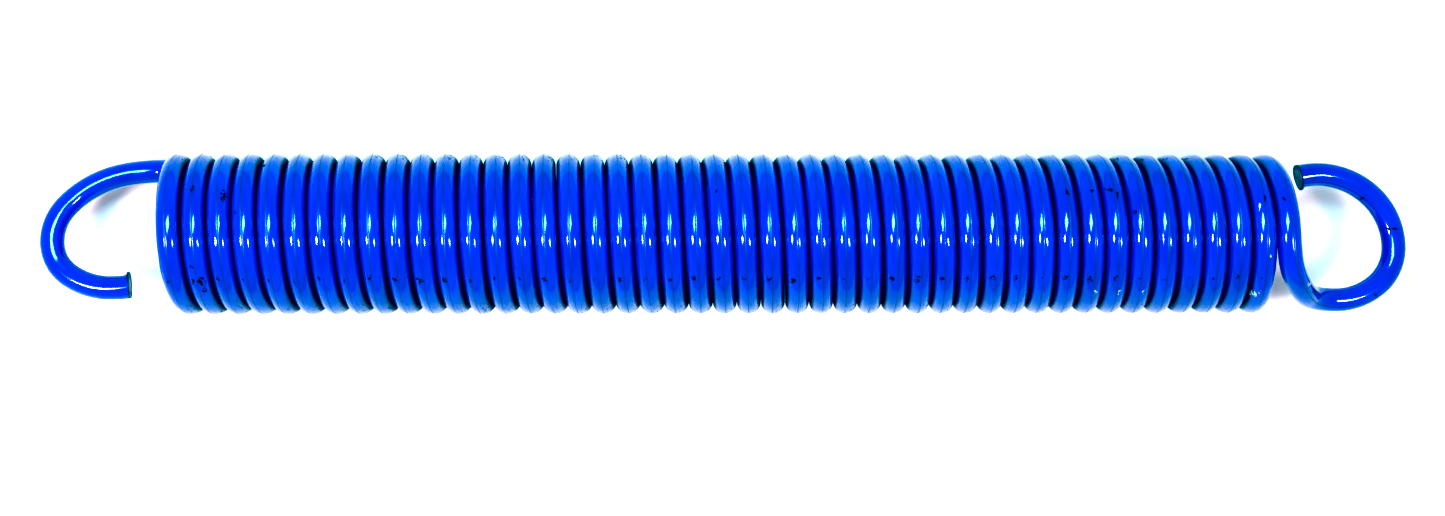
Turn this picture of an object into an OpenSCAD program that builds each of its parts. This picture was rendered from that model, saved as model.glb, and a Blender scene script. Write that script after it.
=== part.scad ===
// Close-wound tension spring of round wire, with an open hook bent from each end.
// +X runs along the coil, +Y across it in the plane of both hooks, +Z up.
// The origin is on the coil's axis, halfway between the far sides of the two hooks.

/* [Wire] */
// Diameter of the wire
wire_d = 8; // [6:0.1:8]

/* [Coil] */
// Mean diameter of the coil, from the middle of the wire to the middle of the wire
mean_d = 46; // [44:0.5:50]
// Distance from one turn to the next, with the spring closed up
pitch = 8.15; // [8.15:0.05:9]
// Number of whole turns between the two hooks
turns = 45; // [4:1:50]

/* [Left hook] */
// How far the middle of the wire reaches past the first turn
left_reach = 42.3; // [40:0.1:50]

/* [Right hook] */
// How far the middle of the wire reaches past the last turn
right_reach = 45.4; // [43:0.1:55]
// How far over the coil the last half turn stays round before it bends outward, in degrees
right_leaves_at = 96; // [92:1:100]

/* [Hidden] */
// Each whole turn is a piece of its own, and this is the gap between one piece and the next
seam_gap = 0.12;
// Every second bend of a hook is this much thicker, and its neighbours reach into its ends
bend_step = 0.02;
bend_overlap = 0.3;
paint = [0.02, 0.2, 0.9];

mean_r = mean_d / 2;
// A half turn is half a ring that leans by a quarter of the pitch
ring_r = norm([mean_r, pitch / 4]);
lean = asin(pitch / 4 / ring_r);
seam_angle = seam_gap / mean_r * 180 / PI;
first_crest_x = (left_reach - right_reach - turns * pitch) / 2;
last_crest_x = first_crest_x + turns * pitch;

function turn_name(k) = str("turn_", k < 10 ? "0" : "", k);

// ---- The coil ----

// Half a ring from the foot of a turn, at -Y, to a crest, at +Y. side is 1 over the top, -1 under
module half_turn(side, sweep)
    rotate([0, 0, side * lean])
        rotate([side * 90, 0, -90])
            translate([-ring_r, 0, 0])
                rotate_extrude(angle = sweep, $fn = 96)
                    translate([ring_r, 0])
                        circle(d = wire_d, $fn = 36);

module turn(k)
    color(paint)
        translate([first_crest_x + (k - 0.5) * pitch, -mean_r, 0]) {
            half_turn(1, 180 - seam_angle);
            half_turn(-1, 180);
        }

// ---- Bent wire ----
// A bend is [start, direction at the start, end], and a station is [point, direction].

function unit(v) = v / norm(v);

module bend(b, thickness, before, after) {
    chord = b[2] - b[0];
    sideways = chord - (chord * b[1]) * b[1];
    bend_r = chord * chord / (2 * norm(sideways));
    inward = unit(sideways);
    sweep = 2 * atan2(norm(sideways), chord * b[1]);
    centre = b[0] + bend_r * inward;
    up = cross(-inward, b[1]);
    degrees = 180 / PI / bend_r;
    multmatrix([
        [-inward.x, b[1].x, up.x, centre.x],
        [-inward.y, b[1].y, up.y, centre.y],
        [-inward.z, b[1].z, up.z, centre.z]
    ])
        rotate([0, 0, -before * degrees])
            rotate_extrude(angle = sweep + (before + after) * degrees, $fn = 96)
                translate([bend_r, 0])
                    circle(d = thickness, $fn = 36);
}

// The length of the tangent arms that let two bends meet smoothly between two stations
function arm_length(along, tangents, turned) =
    turned < 1e-6
        ? along * along / (2 * (along * tangents))
        : (sqrt((along * tangents) ^ 2 + turned * (along * along)) - along * tangents) / turned;

function two_bends(a, b) =
    let (
        arm = arm_length(b[0] - a[0], a[1] + b[1], 2 * (1 - a[1] * b[1])),
        a_tip = a[0] + arm * a[1],
        b_tip = b[0] - arm * b[1],
        middle = (a_tip + b_tip) / 2
    )
    [[a[0], a[1], middle], [middle, unit(b_tip - a_tip), b[0]]];

function bends_through(stations) = [
    for (i = [0:len(stations) - 2], b = two_bends(stations[i], stations[i + 1])) b
];

module bent_wire(bends) {
    last = len(bends) - 1;
    for (i = [0:last])
        if (i % 2 == 0)
            bend(bends[i], wire_d, i == 0 ? 0 : bend_overlap, i == last ? 0 : bend_overlap);
        else
            bend(bends[i], wire_d + bend_step, 0, 0);
}

// ---- The hooks ----
// Shares place a station: x of the hook's reach, y and z of the coil's mean radius.

function station(reach, shares, direction) = [
    [shares.x * reach, shares.y * mean_r, shares.z * mean_r],
    unit(direction)
];

// Bent out of the back of the first turn, over an open eye, to a cut end
module left_hook()
    color(paint)
        translate([first_crest_x, 0, 0])
            bent_wire(bends_through([
                station(left_reach, [0, 1, 0], [0, 0, -1]),
                station(left_reach, [-0.23, 0.97, -0.4], [-1, -0.03, 0.02]),
                station(left_reach, [-0.69, 0.758, -0.22], [-0.84, -0.47, 0.2]),
                station(left_reach, [-1, -0.1, 0], [0, -1, 0]),
                station(left_reach, [-0.535, -0.785, 0], [1, 0, 0]),
                station(left_reach, [-0.385, -0.762, 0], [1, 0.22, 0])
            ]));

// The station on the last half turn at an angle from its crest
function ring_station(angle) =
    let (out = [-sin(lean), cos(lean), 0], up = [0, 0, 1])
    [
        [pitch / 4, 0, 0] + ring_r * (cos(angle) * out + sin(angle) * up),
        cos(angle) * up - sin(angle) * out
    ];

// Half a turn over the top of the coil, then down and round an open eye to a cut end
module right_hook() {
    seam = ring_station(seam_angle);
    leaving = ring_station(right_leaves_at);
    color(paint)
        translate([last_crest_x, 0, 0])
            bent_wire(concat(
                [[seam[0], seam[1], leaving[0]]],
                bends_through([
                    leaving,
                    station(right_reach, [0.12, -0.66, 0.77], [0.46, -0.6, -0.66]),
                    station(right_reach, [0.55, -0.985, 0], [1, 0, 0]),
                    station(right_reach, [1, -0.19, 0], [0, 1, 0]),
                    station(right_reach, [0.43, 0.885, 0], [-1, 0, 0]),
                    station(right_reach, [0.293, 0.853, 0], [-1, -0.2, 0])
                ])
            ));
}

left_hook();
for (k = [1:turns])
    turn(k);
right_hook();
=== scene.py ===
"""A blue painted tension spring with two open hooks, on a white floor.

One wire runs through the whole object: every piece is swept along it, so that the pieces meet without a
seam. Pattern coordinates follow the wire as if it were pulled straight, so they stay put when it stretches.
"""

import math
import random

import bpy
import numpy as np
from mathutils import Matrix, Vector, noise


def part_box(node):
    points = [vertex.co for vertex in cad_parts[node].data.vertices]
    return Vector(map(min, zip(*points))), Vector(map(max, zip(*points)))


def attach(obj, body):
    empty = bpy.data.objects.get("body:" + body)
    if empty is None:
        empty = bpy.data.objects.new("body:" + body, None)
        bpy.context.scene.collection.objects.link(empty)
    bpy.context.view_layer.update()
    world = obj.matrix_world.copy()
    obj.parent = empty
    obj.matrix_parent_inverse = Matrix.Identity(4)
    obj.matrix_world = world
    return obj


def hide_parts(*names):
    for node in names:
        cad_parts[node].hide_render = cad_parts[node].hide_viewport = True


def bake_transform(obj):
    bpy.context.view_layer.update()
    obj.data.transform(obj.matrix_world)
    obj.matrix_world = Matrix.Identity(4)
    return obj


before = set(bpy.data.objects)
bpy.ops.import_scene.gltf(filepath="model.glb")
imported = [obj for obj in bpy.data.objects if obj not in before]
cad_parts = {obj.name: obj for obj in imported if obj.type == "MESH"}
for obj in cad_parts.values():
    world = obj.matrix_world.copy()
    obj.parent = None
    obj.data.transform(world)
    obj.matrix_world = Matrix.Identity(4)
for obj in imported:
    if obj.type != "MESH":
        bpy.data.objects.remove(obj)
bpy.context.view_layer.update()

MM = 0.001

# ---------------------------------------------------------------- sizes, from the frame

TURNS = sum(name.startswith("turn_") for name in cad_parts)
first_low, first_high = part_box("turn_01")
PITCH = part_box("turn_02")[0].x - first_low.x
WIRE_R = (first_high.x - first_low.x - PITCH) / 2
MEAN_R = (first_high.y - first_low.y) / 2 - WIRE_R
FIRST_CREST_X = first_low.x + WIRE_R
LAST_CREST_X = FIRST_CREST_X + TURNS * PITCH
LEFT_REACH = FIRST_CREST_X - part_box("left_hook")[0].x - WIRE_R
RIGHT_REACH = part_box("right_hook")[1].x - LAST_CREST_X - WIRE_R
FLOOR_Z = first_low.z
TURN_LENGTH = math.hypot(2 * math.pi * MEAN_R, PITCH)

RING_STEPS = 180  # rings of points along one turn of wire
BEND_STEP = 0.5 * MM  # spacing of the rings along a hook
OVER_STEPS = 80  # rings along the half turn of the right hook
RIGHT_LEAVES_AT = math.radians(96)  # where the last half turn bends out to the hook

# Points round the wire, from the outermost line: close together at the scratch that the drawing die left
SCRATCH_ANGLES = np.radians([-5, -1.6, 0, 1.6, 5])
ROUND_ANGLES = np.concatenate([SCRATCH_ANGLES, np.radians(np.linspace(10, 350, 35))])
ROUND_STEPS = len(ROUND_ANGLES)
SCRATCH_DEPTH = 0.06 * MM
SCRATCH_HALF_ANGLE = math.radians(2.8)
# The scratch wanders to either side of that line, in two waves: how far, and the length of a wave over 2 pi
SCRATCH_WAVES = ((0.35 * MM, 31 * MM), (0.2 * MM, 11.3 * MM))

# ---------------------------------------------------------------- the wire's middle line


def unit(v):
    return v / np.linalg.norm(v)


def smooth(value, low, high):
    """0 at low, 1 at high, smooth between; low may be the larger."""
    t = np.clip((value - low) / (high - low), 0, 1)
    return t * t * (3 - 2 * t)


def helix_point(u):
    """The middle of the wire u turns after the first crest: over the top at +Z first, then underneath."""
    angle = 2 * math.pi * u
    x = FIRST_CREST_X + PITCH * u
    return np.array([x, MEAN_R * math.cos(angle), MEAN_R * math.sin(angle)])


def helix_direction(u):
    angle = 2 * math.pi * u
    around = 2 * math.pi * MEAN_R
    return unit(np.array([PITCH, -around * math.sin(angle), around * math.cos(angle)]))


def helix_outward(u):
    angle = 2 * math.pi * u
    return np.array([0, math.cos(angle), math.sin(angle)])


def bend_points(start, direction, end):
    """Points along the arc that leaves start in a direction and ends at end."""
    chord = end - start
    sideways = chord - (chord @ direction) * direction
    radius = chord @ chord / (2 * np.linalg.norm(sideways))
    inward = unit(sideways)
    sweep = 2 * math.atan2(np.linalg.norm(sideways), chord @ direction)
    count = max(3, round(radius * sweep / BEND_STEP))
    turned = np.linspace(0, sweep, count + 1)[1:, None]
    return start + radius * (inward * (1 - np.cos(turned)) + direction * np.sin(turned))


def two_bends(a, b):
    """Points from one station to the next, by two arcs that meet smoothly."""
    (start, out), (end, into) = a, b
    along, tangents = end - start, out + into
    turned = 2 * (1 - out @ into)
    lean = along @ tangents
    arm = (math.sqrt(lean * lean + turned * (along @ along)) - lean) / turned
    start_tip, end_tip = start + arm * out, end - arm * into
    middle = (start_tip + end_tip) / 2
    return np.vstack(
        [bend_points(start, out, middle), bend_points(middle, unit(end_tip - start_tip), end)]
    )


def station(x0, reach, shares, direction):
    """A place on a hook: x as a share of its reach, y and z as shares of the coil's mean radius."""
    point = np.array([x0 + shares[0] * reach, shares[1] * MEAN_R, shares[2] * MEAN_R])
    return point, unit(np.array(direction, float))


def bent_path(stations):
    points = [stations[0][0][None]]
    for a, b in zip(stations[:-1], stations[1:]):
        points.append(two_bends(a, b))
    return np.vstack(points)


def left_hook_points():
    """From the first crest, out of the back of the coil and round the eye to the cut end."""

    def at(shares, direction):
        return station(FIRST_CREST_X, LEFT_REACH, shares, direction)

    return bent_path(
        [
            (helix_point(0), -helix_direction(0)),
            at([-0.23, 0.97, -0.4], [-1, -0.03, 0.02]),
            at([-0.69, 0.758, -0.22], [-0.84, -0.47, 0.2]),
            at([-1, -0.1, 0], [0, -1, 0]),
            at([-0.535, -0.785, 0], [1, 0, 0]),
            at([-0.385, -0.762, 0], [1, 0.22, 0]),
        ]
    )


def right_hook_points():
    """From the last crest over the top, then down and round the eye to the cut end."""

    def at(shares, direction):
        return station(LAST_CREST_X, RIGHT_REACH, shares, direction)

    leaves = TURNS + RIGHT_LEAVES_AT / (2 * math.pi)
    over = np.array([helix_point(u) for u in np.linspace(TURNS, leaves, OVER_STEPS)])
    loop = bent_path(
        [
            (helix_point(leaves), helix_direction(leaves)),
            at([0.12, -0.66, 0.77], [0.46, -0.6, -0.66]),
            at([0.55, -0.985, 0], [1, 0, 0]),
            at([1, -0.19, 0], [0, 1, 0]),
            at([0.43, 0.885, 0], [-1, 0, 0]),
            at([0.293, 0.853, 0], [-1, -0.2, 0]),
        ]
    )
    return np.vstack([over, loop[1:]])


class Wire:
    """A stretch of the wire. distance is counted along the whole wire from the first crest. mirrored says
    that the stretch runs against the wire's own direction."""

    def __init__(self, points, along, outward, distance, mirrored=False):
        self.points, self.along, self.outward = points, along, outward
        self.sideways = np.cross(along, outward)
        self.distance = distance
        self.mirrored = mirrored


def turn_wire(k):
    u = np.linspace(k - 1, k, RING_STEPS + 1)
    points = np.array([helix_point(v) for v in u])
    along = np.array([helix_direction(v) for v in u])
    outward = np.array([helix_outward(v) for v in u])
    return Wire(points, along, outward, u * TURN_LENGTH)


def hook_wire(points, outward, start_distance, mirrored):
    """A hook's wire, from the coil to its cut end. The outward direction is carried along without twist."""
    along = np.gradient(points, axis=0)
    along /= np.linalg.norm(along, axis=1)[:, None]
    carried = [unit(outward - (outward @ along[0]) * along[0])]
    for direction in along[1:]:
        carried.append(unit(carried[-1] - (carried[-1] @ direction) * direction))
    steps = np.linalg.norm(np.diff(points, axis=0), axis=1)
    walked = np.concatenate([[0], np.cumsum(steps)])
    distance = start_distance + (-walked if mirrored else walked)
    return Wire(points, along, np.array(carried), distance, mirrored)


# ---------------------------------------------------------------- marks on the paint

# Marks that can be seen from above: x, y, then how far each reaches along x and y, in mm
CHIPS = [
    (-165, 10.5, 2.2, 4.2),
    (-175, 12.5, 1.6, 3.0),
    (-154, 21.5, 2.0, 1.6),
    (-160.5, 5, 1.2, 1.6),
    (-175, -12.5, 1.4, 2.0),
    (-172.8, -17.3, 3.0, 3.2),
    (-172, -20, 1.5, 1.8),
    (-8, 15, 1.2, 1.6),
    (-5, 12, 1.2, 2.2),
    (110.5, 11.5, 1.3, 2.4),
    (118.5, 12, 1.4, 2.0),
    (124.8, 12.6, 2.4, 2.0),
    (126.8, 10.6, 1.2, 3.2),
    (132.5, 5, 1.4, 1.4),
    (131, 24.6, 1.6, 1.0),
    (139, 24.2, 1.6, 1.0),
    (147, 24.6, 1.4, 1.0),
    (154.5, 25, 1.4, 1.0),
    (175.6, 9.4, 1.2, 3.4),
    (182.3, 9.2, 1.4, 1.6),
    (195.5, -20.5, 2.4, 2.0),
    (216, 11.8, 1.6, 1.4),
    (219.5, -21, 1.6, 1.6),
    (225.8, 1.4, 7.5, 0.9),
]
BARE_SPOTS = [
    (173.7, 6.8, 1.0, 2.8),
    (174.6, -21.2, 2.2, 2.2),
    (176.8, -9.5, 1.3, 1.8),
    (192.3, -18.4, 2.2, 1.6),
    (120.7, -20.8, 1.2, 1.4),
    (128.7, -20.8, 1.2, 1.4),
    (136.7, -20.8, 1.2, 1.4),
    (219, -24.6, 1.6, 1.0),
]

# The same small chip comes round on every turn: how far over the coil, and how far left of the wire's
# middle. Its size and its place along y are uneven. All but the angle are in mm.
ROUND_CHIP_ANGLE = math.radians(128)
ROUND_CHIP_OFFSET = 1.2
ROUND_CHIP_SIZES = (1.1, 2.3)
ROUND_CHIP_SHIFT = 0.5

# Painted shade, with dirt, between the turns: it begins where the cosine of the angle from the outermost line
# is this small, and earlier on the crests and feet of the turns, where the neighbours shade more of each
# side. It is full at a share of that cosine.
GAP_SHADE_BEGINS = 0.60
GAP_SHADE_BEGINS_EARLIER = 0.32
GAP_SHADE_FULL = 0.42

# Speckles: each pair is where they begin and where they are full. y and z are in mm from the coil's axis, and
# the side of the wire is the sine of the angle from its outermost line.
SCUFF_Y = (20.5, 25.5)
SCUFF_Z = (-6, 0)
SCUFF_SIDE = (0.3, -0.6)
# The crests of these turns were scuffed the most
SCUFFED_TURNS = (9, 19)
# How much of them there is on the other crests, on the feet, and on the left side of the wire
CREST_SCUFFS = 0.35
FOOT_SCUFFS = 0.55
LEFT_SIDE_SCUFFS = 0.3


def round_chips():
    """One chip a turn, of uneven size."""
    dice = random.Random(7)
    chips = []
    for k in range(1, TURNS + 1):
        x = (FIRST_CREST_X + (k - 1 + ROUND_CHIP_ANGLE / (2 * math.pi)) * PITCH) / MM
        y = (MEAN_R + WIRE_R) * math.cos(ROUND_CHIP_ANGLE) / MM
        size = dice.uniform(*ROUND_CHIP_SIZES)
        shift = dice.uniform(-ROUND_CHIP_SHIFT, ROUND_CHIP_SHIFT)
        chips.append((x - ROUND_CHIP_OFFSET, y + shift, size, size))
    return chips


def mark_field(places, marks):
    """1 in the middle of a mark on the upper side, falling to 0 at its reach."""
    field = np.zeros(places.shape[:-1])
    x, y, z = places[..., 0] / MM, places[..., 1] / MM, places[..., 2]
    for mark_x, mark_y, reach_x, reach_y in marks:
        away = np.hypot((x - mark_x) / reach_x, (y - mark_y) / reach_y)
        field = np.maximum(field, np.where(z > 0, 1 - away, 0))
    return field


def gap_dirt_and_shade_field(wire, angle):
    """Painted shade, and the dirt that settles there, where a turn lies against the one beside it, on the
    sides of the wire.
    """
    # Turns along the coil tell which side has a neighbour: the outer sides of the first and last have none
    turn = (wire.points[:, 0] - FIRST_CREST_X) / PITCH
    left_neighbour = smooth(turn, 0.9, 1.1) * smooth(turn, TURNS + 0.3, TURNS + 0.2)
    right_neighbour = smooth(turn, -0.1, 0.0) * smooth(turn, TURNS - 0.65, TURNS - 0.8)
    towards_left = np.sin(angle) > 0
    beside = np.where(towards_left[None], left_neighbour[:, None], right_neighbour[:, None])
    # More painted shade on the crests and feet, where the neighbours shade more of each side
    at_edge = smooth(np.abs(wire.points[:, 1]) / MEAN_R, 0.5, 0.9)[:, None]
    begins = GAP_SHADE_BEGINS + GAP_SHADE_BEGINS_EARLIER * at_edge
    return beside * smooth(np.abs(np.cos(angle))[None] / begins, 1, GAP_SHADE_FULL)


def scuff_field(places, angle):
    """How much the paint is speckled: on the crests and feet of the turns, towards the right."""
    y, z = places[..., 1] / MM, places[..., 2] / MM
    turn = (places[..., 0] - FIRST_CREST_X) / PITCH
    edge = smooth(np.abs(y), *SCUFF_Y) * smooth(z, *SCUFF_Z)
    right = smooth(np.sin(angle), *SCUFF_SIDE)[None]
    first, last = SCUFFED_TURNS
    worst = smooth(turn, first - 2, first) * smooth(turn, last + 1, last - 1)
    crest = np.where(y > 0, CREST_SCUFFS + (1 - CREST_SCUFFS) * worst, FOOT_SCUFFS)
    on_coil = smooth(turn, -0.5, 0) * smooth(turn, TURNS + 0.4, TURNS)
    return edge * (LEFT_SIDE_SCUFFS + (1 - LEFT_SIDE_SCUFFS) * right) * crest * on_coil


# ---------------------------------------------------------------- meshes


def link(piece):
    bpy.context.scene.collection.objects.link(piece)
    return piece


def store(mesh, name, values, kind="FLOAT", key="value"):
    """Writes an attribute of the mesh's points, for a material to read."""
    attribute = mesh.attributes.new(name, kind, "POINT")
    attribute.data.foreach_set(key, np.ravel(values).astype(np.float32))


def tube_faces(rings):
    """The faces of a tube, as its points' numbers: round it from ring to ring, then the two caps."""
    ring, side = np.meshgrid(np.arange(rings - 1), np.arange(ROUND_STEPS), indexing="ij")
    across = (side + 1) % ROUND_STEPS
    corners = [
        ring * ROUND_STEPS + side,
        ring * ROUND_STEPS + across,
        (ring + 1) * ROUND_STEPS + across,
        (ring + 1) * ROUND_STEPS + side,
    ]
    quads = np.stack(corners, axis=-1).reshape(-1, 4)
    start_cap = list(range(ROUND_STEPS))[::-1]
    end_cap = [(rings - 1) * ROUND_STEPS + i for i in range(ROUND_STEPS)]
    return quads.tolist() + [start_cap, end_cap]


def set_normals(mesh, normals, wire):
    """Gives each corner the normal of its point, and the caps their own."""
    corner_vertex = np.empty(len(mesh.loops), np.int32)
    mesh.loops.foreach_get("vertex_index", corner_vertex)
    corner_normals = normals.reshape(-1, 3)[corner_vertex]
    corner_normals[-2 * ROUND_STEPS : -ROUND_STEPS] = -wire.along[0]
    corner_normals[-ROUND_STEPS:] = wire.along[-1]
    mesh.normals_split_custom_set(corner_normals.tolist())


def sweep_wire(name, wire, swell=None, shift=None):
    """A closed tube along a wire, with the fields that the paint reads. swell adds to the wire's radius and
    shift moves points along the wire, both as arrays of rings by points round."""
    rings = len(wire.points)
    wander = sum(reach * np.sin(wire.distance / length) for reach, length in SCRATCH_WAVES)
    angle = ROUND_ANGLES[None] + wander[:, None] / WIRE_R
    scratch = np.exp(-((ROUND_ANGLES / SCRATCH_HALF_ANGLE) ** 2))
    radius = WIRE_R - SCRATCH_DEPTH * np.tile(scratch, (rings, 1))
    slope = SCRATCH_DEPTH * scratch * 2 * ROUND_ANGLES / SCRATCH_HALF_ANGLE**2 / WIRE_R
    if swell is not None:
        radius = radius + swell
    cos, sin = np.cos(angle)[..., None], np.sin(angle)[..., None]
    radial = wire.outward[:, None] * cos + wire.sideways[:, None] * sin
    around = wire.sideways[:, None] * cos - wire.outward[:, None] * sin
    places = wire.points[:, None] + radial * radius[..., None]
    if shift is not None:
        places = places + wire.along[:, None] * shift[..., None]
    normals = radial - around * slope[None, :, None]
    normals /= np.linalg.norm(normals, axis=-1, keepdims=True)

    faces = tube_faces(rings)
    mesh = bpy.data.meshes.new(name)
    mesh.from_pydata(places.reshape(-1, 3).tolist(), [], faces)
    mesh.polygons.foreach_set("use_smooth", [True] * (len(faces) - 2) + [False, False])
    set_normals(mesh, normals, wire)

    straight = np.empty((rings, ROUND_STEPS, 3))
    straight[..., 0] = wire.distance[:, None]
    straight[..., 1] = radius * np.cos(angle)
    straight[..., 2] = radius * np.sin(angle) * (-1 if wire.mirrored else 1)
    store(mesh, "straight_wire", straight, "FLOAT_VECTOR", "vector")
    store(mesh, "scratch", np.tile(scratch, (rings, 1)))
    store(mesh, "chips", mark_field(places, CHIPS + round_chips()))
    store(mesh, "bare", mark_field(places, BARE_SPOTS))
    # Painted shade, with dirt, on the sides of the wire between the turns
    store(mesh, "gap_dirt_and_shade", gap_dirt_and_shade_field(wire, ROUND_ANGLES))
    store(mesh, "scuffs", scuff_field(places, ROUND_ANGLES))
    return link(bpy.data.objects.new(name, mesh))


# The shears swelled the end of the wire, and pulled it out into a lip on one side
LIP_LENGTH = 1.8 * MM
LIP_HEIGHT = 1.0 * MM
END_SWELL = 0.12 * MM
SLANT_LENGTH = 4 * MM  # a cut at a slant moves points this far back along the wire

FACE_RINGS = (1.0, 0.93, 0.8, 0.62, 0.42, 0.2)  # as shares of the face's radius
FACE_SHARE = 0.985  # the face stops a little inside the paint
FACE_RISE = 0.06 * MM  # its front stands this far out of the wire's end
RIM_RISE = 0.3 * MM  # and its rolled edge stands this much further out
FACE_BACK = -0.4 * MM
TORN_DEPTH = 0.15 * MM
TORN_SCALE = 900


def round_the_end(wire):
    """The directions from the middle of the wire to its points round, at the cut end."""
    cos, sin = np.cos(ROUND_ANGLES)[:, None], np.sin(ROUND_ANGLES)[:, None]
    return wire.outward[-1][None] * cos + wire.sideways[-1][None] * sin


def end_lip(wire, towards):
    """How far the shears swelled the wire near its cut end, most towards one direction."""
    left = np.abs(wire.distance - wire.distance[-1])
    near = np.clip(1 - left / LIP_LENGTH, 0, 1) ** 2
    facing = np.clip(round_the_end(wire) @ unit(towards), 0, 1) ** 5
    return near[:, None] * (END_SWELL + (LIP_HEIGHT - END_SWELL) * facing[None])


def end_slant(wire, lean):
    """How far each point is moved along the wire, so that the cut reaches further out towards lean."""
    left = np.abs(wire.distance - wire.distance[-1])
    near = smooth(left, SLANT_LENGTH, 0)
    return near[:, None] * (WIRE_R * (round_the_end(wire) @ lean))[None]


def cut_face(name, wire, swell, shift):
    """The sheared end of the wire, as a thin closed disc: torn, and hollow inside a rolled edge."""
    rim = (WIRE_R + swell[-1]) * FACE_SHARE
    vertices = []
    for front in (True, False):
        for share in FACE_RINGS:
            for i, radial in enumerate(round_the_end(wire)):
                place = wire.points[-1] + radial * rim[i] * share
                torn = TORN_DEPTH * noise.noise(Vector(place) * TORN_SCALE) * (1 - share**6)
                proud = FACE_RISE + RIM_RISE * share**3 + torn if front else FACE_BACK
                vertices.append(place + wire.along[-1] * (shift[-1][i] * share + proud))
    # The numbers of the first point at the back, and of the first point of a side's innermost ring
    back = len(FACE_RINGS) * ROUND_STEPS
    last = back - ROUND_STEPS
    faces = []
    for i in range(ROUND_STEPS):
        j = (i + 1) % ROUND_STEPS
        for a in range(0, last, ROUND_STEPS):
            b = a + ROUND_STEPS
            faces.append((a + i, a + j, b + j, b + i))
            faces.append((back + a + j, back + a + i, back + b + i, back + b + j))
        faces.append((back + i, back + j, j, i))
    faces.append(tuple(last + i for i in range(ROUND_STEPS)))
    faces.append(tuple(back + last + i for i in reversed(range(ROUND_STEPS))))
    mesh = bpy.data.meshes.new(name)
    mesh.from_pydata([tuple(v) for v in vertices], [], faces)
    mesh.polygons.foreach_set("use_smooth", [True] * len(faces))
    store(mesh, "from_middle", np.tile(np.repeat(FACE_RINGS, ROUND_STEPS), 2))
    return link(bpy.data.objects.new(name, mesh))


# ---------------------------------------------------------------- materials


class Nodes:
    """Small helpers to wire up a material's nodes."""

    def __init__(self, name):
        self.material = bpy.data.materials.new(name)
        self.material.use_nodes = True
        self.tree = self.material.node_tree
        self.shader = self.tree.nodes["Principled BSDF"]

    def set(self, **values):
        for key, value in values.items():
            self.shader.inputs[key.replace("_", " ")].default_value = value

    def plug(self, key, source):
        self.tree.links.new(source, self.shader.inputs[key])

    def add(self, kind, values=None, links=None, **settings):
        node = self.tree.nodes.new(kind)
        for key, value in settings.items():
            setattr(node, key, value)
        for key, value in (values or {}).items():
            node.inputs[key].default_value = value
        for key, source in (links or {}).items():
            self.tree.links.new(source, node.inputs[key])
        return node

    def attribute(self, name, output="Fac"):
        return self.add("ShaderNodeAttribute", attribute_name=name).outputs[output]

    def maths(self, operation, a, b):
        node = self.add("ShaderNodeMath", operation=operation)
        for i, value in enumerate((a, b)):
            if isinstance(value, (int, float)):
                node.inputs[i].default_value = value
            else:
                self.tree.links.new(value, node.inputs[i])
        return node.outputs[0]

    def between(self, value, low, high, to_low=0.0, to_high=1.0):
        """to_low at low, to_high at high, and smooth between."""
        limits = {"From Min": low, "From Max": high, "To Min": to_low, "To Max": to_high}
        node = self.add("ShaderNodeMapRange", limits, {"Value": value}, interpolation_type="SMOOTHSTEP")
        return node.outputs[0]

    def mixed(self, factor, a, b):
        node = self.add("ShaderNodeMix", data_type="RGBA")
        self.tree.links.new(factor, node.inputs[0])
        for i, colour in ((6, a), (7, b)):
            if isinstance(colour, tuple):
                node.inputs[i].default_value = colour
            else:
                self.tree.links.new(colour, node.inputs[i])
        return node.outputs[2]

    def blended(self, factor, a, b):
        """The same for a source of numbers and one number."""
        node = self.add("ShaderNodeMix", data_type="FLOAT")
        self.tree.links.new(factor, node.inputs[0])
        self.tree.links.new(a, node.inputs[2])
        node.inputs[3].default_value = b
        return node.outputs[0]

    def noise(self, vector, scale, detail=2.0, roughness=0.5, stretch=None):
        if stretch is not None:
            vector = self.add("ShaderNodeMapping", {"Scale": stretch}, {"Vector": vector}).outputs[0]
        values = {"Scale": scale, "Detail": detail, "Roughness": roughness}
        return self.add("ShaderNodeTexNoise", values, {"Vector": vector}).outputs["Fac"]

    def bump(self, height, strength, distance):
        values = {"Strength": strength, "Distance": distance}
        self.plug("Normal", self.add("ShaderNodeBump", values, {"Height": height}).outputs[0])

    def ragged(self, field, vector, scale=1300, depth=2.0, threshold=0.62, softness=0.08):
        """A field's blots, with a torn outline."""
        grain = self.noise(vector, scale, detail=3)
        torn = self.maths("MULTIPLY", self.maths("SUBTRACT", grain, 0.5), depth)
        return self.between(self.maths("ADD", field, torn), threshold, threshold + softness)


DEEP_BLUE = (0.0, 0.008, 0.215, 1)
BRIGHT_BLUE = (0.0, 0.012, 0.27, 1)
SCRATCH_BLUE = (0.0, 0.004, 0.035, 1)
# Near black, for the painted shade and dirt between the turns
GAP_DIRT_AND_SHADE = (0.0, 0.0005, 0.004, 1)
CHIPPED = (0.003, 0.003, 0.009, 1)
BARE_METAL = (0.30, 0.31, 0.22, 1)
GLOSS_TINT = (0.75, 0.92, 1.0, 1)


def enamel_colour(n, patches, worn_scratch, gap_dirt_and_shade, dark, bare):
    colour = n.mixed(n.between(patches, 0.3, 0.7), DEEP_BLUE, BRIGHT_BLUE)
    colour = n.mixed(n.maths("MULTIPLY", worn_scratch, 0.95), colour, SCRATCH_BLUE)
    # Painted shade, with dirt, where the turns lie against each other
    colour = n.mixed(n.maths("MULTIPLY", gap_dirt_and_shade, 0.93), colour, GAP_DIRT_AND_SHADE)
    colour = n.mixed(dark, colour, CHIPPED)
    return n.mixed(bare, colour, BARE_METAL)


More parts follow.
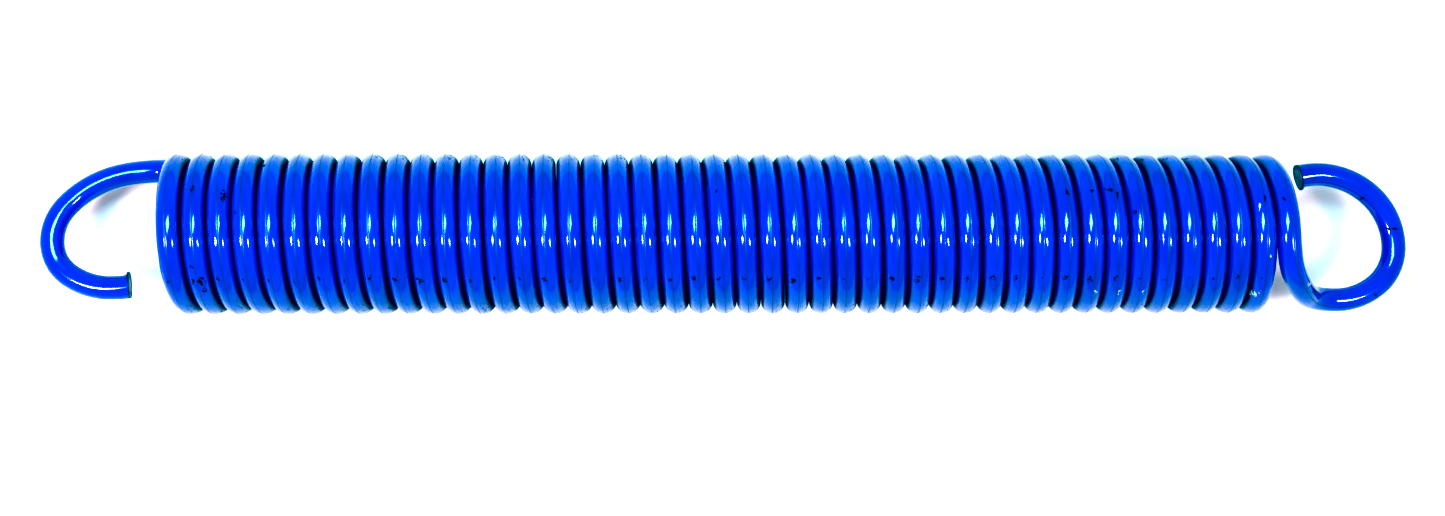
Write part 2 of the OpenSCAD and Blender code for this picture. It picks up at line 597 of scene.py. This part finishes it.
def blue_enamel():
    """Glossy blue paint on drawn wire, with fine streaks along it, a scratch, chips, and painted shade with
    dirt in the gaps between turns.
    """
    n = Nodes("blue_enamel")
    straight = n.attribute("straight_wire", "Vector")
    patches = n.noise(straight, scale=60, detail=3)
    streaks = n.noise(straight, scale=1100, detail=3, roughness=0.6, stretch=(0.05, 1, 1))
    peel = n.noise(straight, scale=380)
    specks = n.noise(straight, scale=1500, stretch=(0.6, 1, 1))
    wear = n.noise(straight, scale=150, detail=3)

    worn_scratch = n.maths("MULTIPLY", n.attribute("scratch"), n.between(wear, 0.3, 0.45))
    gap_dirt_and_shade = n.attribute("gap_dirt_and_shade")
    chips = n.ragged(n.attribute("chips"), straight)
    bare = n.ragged(n.attribute("bare"), straight)
    scuffed = n.maths("ADD", specks, n.maths("MULTIPLY", n.attribute("scuffs"), 0.24))
    dark = n.maths("MAXIMUM", chips, n.between(scuffed, 0.74, 0.79))
    damaged = n.maths("MAXIMUM", dark, bare)
    n.plug("Base Color", enamel_colour(n, patches, worn_scratch, gap_dirt_and_shade, dark, bare))

    rough = n.between(streaks, 0.3, 0.7, to_low=0.06, to_high=0.13)
    rough = n.blended(n.maths("MAXIMUM", gap_dirt_and_shade, worn_scratch), rough, 0.55)
    n.plug("Roughness", n.blended(damaged, rough, 0.7))
    dull = n.maths("MAXIMUM", gap_dirt_and_shade, dark)
    n.plug("Specular IOR Level", n.between(dull, 0, 1, to_low=0.5, to_high=0.05))
    n.set(IOR=1.5, Specular_Tint=GLOSS_TINT)

    height = n.maths("ADD", n.maths("MULTIPLY", streaks, 0.45), n.maths("MULTIPLY", peel, 0.35))
    height = n.maths("SUBTRACT", height, n.maths("MULTIPLY", damaged, 1.5))
    n.bump(height, strength=0.2, distance=0.02 * MM)
    return n.material


SHEARED_DARK = (0.03, 0.035, 0.05, 1)
SHEARED_BRIGHT = (0.25, 0.3, 0.38, 1)
SMEARED_PAINT = (0.002, 0.01, 0.06, 1)
ROLLED_EDGE = (0.002, 0.003, 0.006, 1)


def sheared_steel():
    """The dark, torn face that the shears left."""
    n = Nodes("sheared_steel")
    place = n.add("ShaderNodeTexCoord").outputs["Object"]
    tears = n.noise(place, scale=1300, detail=3, roughness=0.6, stretch=(1, 0.25, 1))
    smears = n.noise(place, scale=420)
    colour = n.mixed(n.between(tears, 0.35, 0.65), SHEARED_DARK, SHEARED_BRIGHT)
    colour = n.mixed(n.between(smears, 0.5, 0.65), colour, SMEARED_PAINT)
    at_edge = n.between(n.attribute("from_middle"), 0.75, 0.92)
    n.plug("Base Color", n.mixed(at_edge, colour, ROLLED_EDGE))
    n.plug("Roughness", n.between(tears, 0.3, 0.7, to_low=0.55, to_high=0.3))
    n.set(Metallic=0.6)
    n.bump(tears, strength=0.5, distance=0.06 * MM)
    return n.material


def floor_white():
    n = Nodes("floor_white")
    n.set(Base_Color=(0.68, 0.62, 0.66, 1), Roughness=0.9)
    return n.material


# ---------------------------------------------------------------- the pieces

enamel = blue_enamel()
steel = sheared_steel()


def turn_name(k):
    return f"turn_{k:02d}"


def build_turn(k):
    """One turn of painted wire, in place of its part."""
    piece = sweep_wire(f"wire_{turn_name(k)}", turn_wire(k))
    piece.data.materials.append(enamel)
    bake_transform(piece)
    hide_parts(turn_name(k))


def build_hook(body, wire, lip_towards, lean):
    """A hook's painted wire, and the bare face of its cut end."""
    swell, shift = end_lip(wire, lip_towards), end_slant(wire, lean)
    piece = sweep_wire(f"wire_{body}", wire, swell, shift)
    piece.data.materials.append(enamel)
    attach(piece, body)
    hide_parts(body)
    face = cut_face(f"{body}_cut_face", wire, swell, shift)
    face.data.materials.append(steel)
    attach(face, body)


for k in range(1, TURNS + 1):
    build_turn(k)
build_hook(
    "left_hook",
    hook_wire(left_hook_points(), helix_outward(0), 0.0, mirrored=True),
    lip_towards=np.array([0, 1.0, 0.2]),
    lean=np.array([0, 0.15, 0.12]),
)
build_hook(
    "right_hook",
    hook_wire(right_hook_points(), helix_outward(TURNS), TURNS * TURN_LENGTH, mirrored=False),
    lip_towards=np.array([0, -1.0, -0.3]),
    lean=np.array([0, 0.03, -0.02]),
)

# ---------------------------------------------------------------- floor, light and camera


FLOOR_REACH = 6.0


def build_floor():
    far = FLOOR_REACH
    corners = [(-far, -far), (far, -far), (far, far), (-far, far)]
    mesh = bpy.data.meshes.new("floor")
    mesh.from_pydata([(x, y, FLOOR_Z) for x, y in corners], [], [(0, 1, 2, 3)])
    mesh.materials.append(floor_white())
    link(bpy.data.objects.new("floor", mesh))


CAMERA_PLACE = Vector((-20.7, -55.3, 664.1)) * MM
CAMERA_TILT, CAMERA_YAW, CAMERA_ROLL = 0.0708, -0.0277, -0.0008  # radians
LENS_MM, SENSOR_MM = 49.02, 36.0
VIEW_REACH = 50  # metres


def build_camera():
    data = bpy.data.cameras.new("camera")
    data.lens, data.sensor_width = LENS_MM, SENSOR_MM
    data.clip_end = VIEW_REACH
    camera = link(bpy.data.objects.new("camera", data))
    camera.matrix_world = (
        Matrix.Translation(CAMERA_PLACE)
        @ Matrix.Rotation(CAMERA_TILT, 4, "X")
        @ Matrix.Rotation(CAMERA_YAW, 4, "Y")
        @ Matrix.Rotation(CAMERA_ROLL, 4, "Z")
    )
    bpy.context.scene.camera = camera


LIGHT_HEIGHT = 0.70
LAMP_WHITE = (1.0, 0.98, 0.94)
PANEL_CYAN = (0.45, 0.93, 1.0)


def area_light(name, x, y, size, radiance, colour):
    """A soft panel that faces the middle of the spring. radiance is what a mirror of it would show."""
    data = bpy.data.lights.new(name, "AREA")
    data.shape, data.size, data.size_y = "RECTANGLE", *size
    data.energy = radiance * math.pi * size[0] * size[1]
    data.color = colour
    light = link(bpy.data.objects.new(name, data))
    light.location = (x, y, LIGHT_HEIGHT)
    light.rotation_euler = light.location.to_track_quat("Z", "Y").to_euler()
    light.visible_camera = False


def build_lights():
    area_light("overhead_panel", x=-0.08, y=0.125, size=(0.34, 0.21), radiance=52, colour=PANEL_CYAN)
    area_light("left_lamp", x=-0.46, y=-0.19, size=(0.12, 0.16), radiance=140, colour=LAMP_WHITE)
    area_light("right_lamp", x=0.48, y=-0.20, size=(0.11, 0.16), radiance=85, colour=LAMP_WHITE)


WALL_COLOUR = (0.72, 0.85, 1.0, 1)
CEILING_COLOUR = (0.6, 0.55, 0.55, 1)
# How steeply one looks up where the walls end and where the ceiling begins, from 0 at level to 1 straight up
WALLS_END, CEILING_BEGINS = 0.36, 0.54
ROOM_RADIANCE = 1.5


def build_world():
    """A room with pale walls and a dimmer ceiling."""
    world = bpy.data.worlds.new("room")
    world.use_nodes = True
    tree = world.node_tree
    background = tree.nodes["Background"]
    coords = tree.nodes.new("ShaderNodeTexCoord")
    direction = tree.nodes.new("ShaderNodeSeparateXYZ")
    ramp = tree.nodes.new("ShaderNodeValToRGB")
    tree.links.new(coords.outputs["Generated"], direction.inputs[0])
    tree.links.new(direction.outputs["Z"], ramp.inputs["Fac"])
    tree.links.new(ramp.outputs["Color"], background.inputs["Color"])
    stops = ramp.color_ramp.elements
    stops[0].position, stops[0].color = WALLS_END, WALL_COLOUR
    stops[1].position, stops[1].color = CEILING_BEGINS, CEILING_COLOUR
    background.inputs["Strength"].default_value = ROOM_RADIANCE
    bpy.context.scene.world = world


VIEW_GAMMA = 0.8
# A contrasty picture: below these levels of red, green and blue it shows none at all
RED_GREEN_BLUE_BLACK = (0.18, 0.018, 0.0)


def set_colour():
    view = bpy.context.scene.view_settings
    view.view_transform = "Standard"
    view.look = "None"
    view.gamma = VIEW_GAMMA
    view.use_curve_mapping = True
    view.curve_mapping.black_level = RED_GREEN_BLUE_BLACK
    view.curve_mapping.update()


build_floor()
build_camera()
build_lights()
build_world()
set_colour()
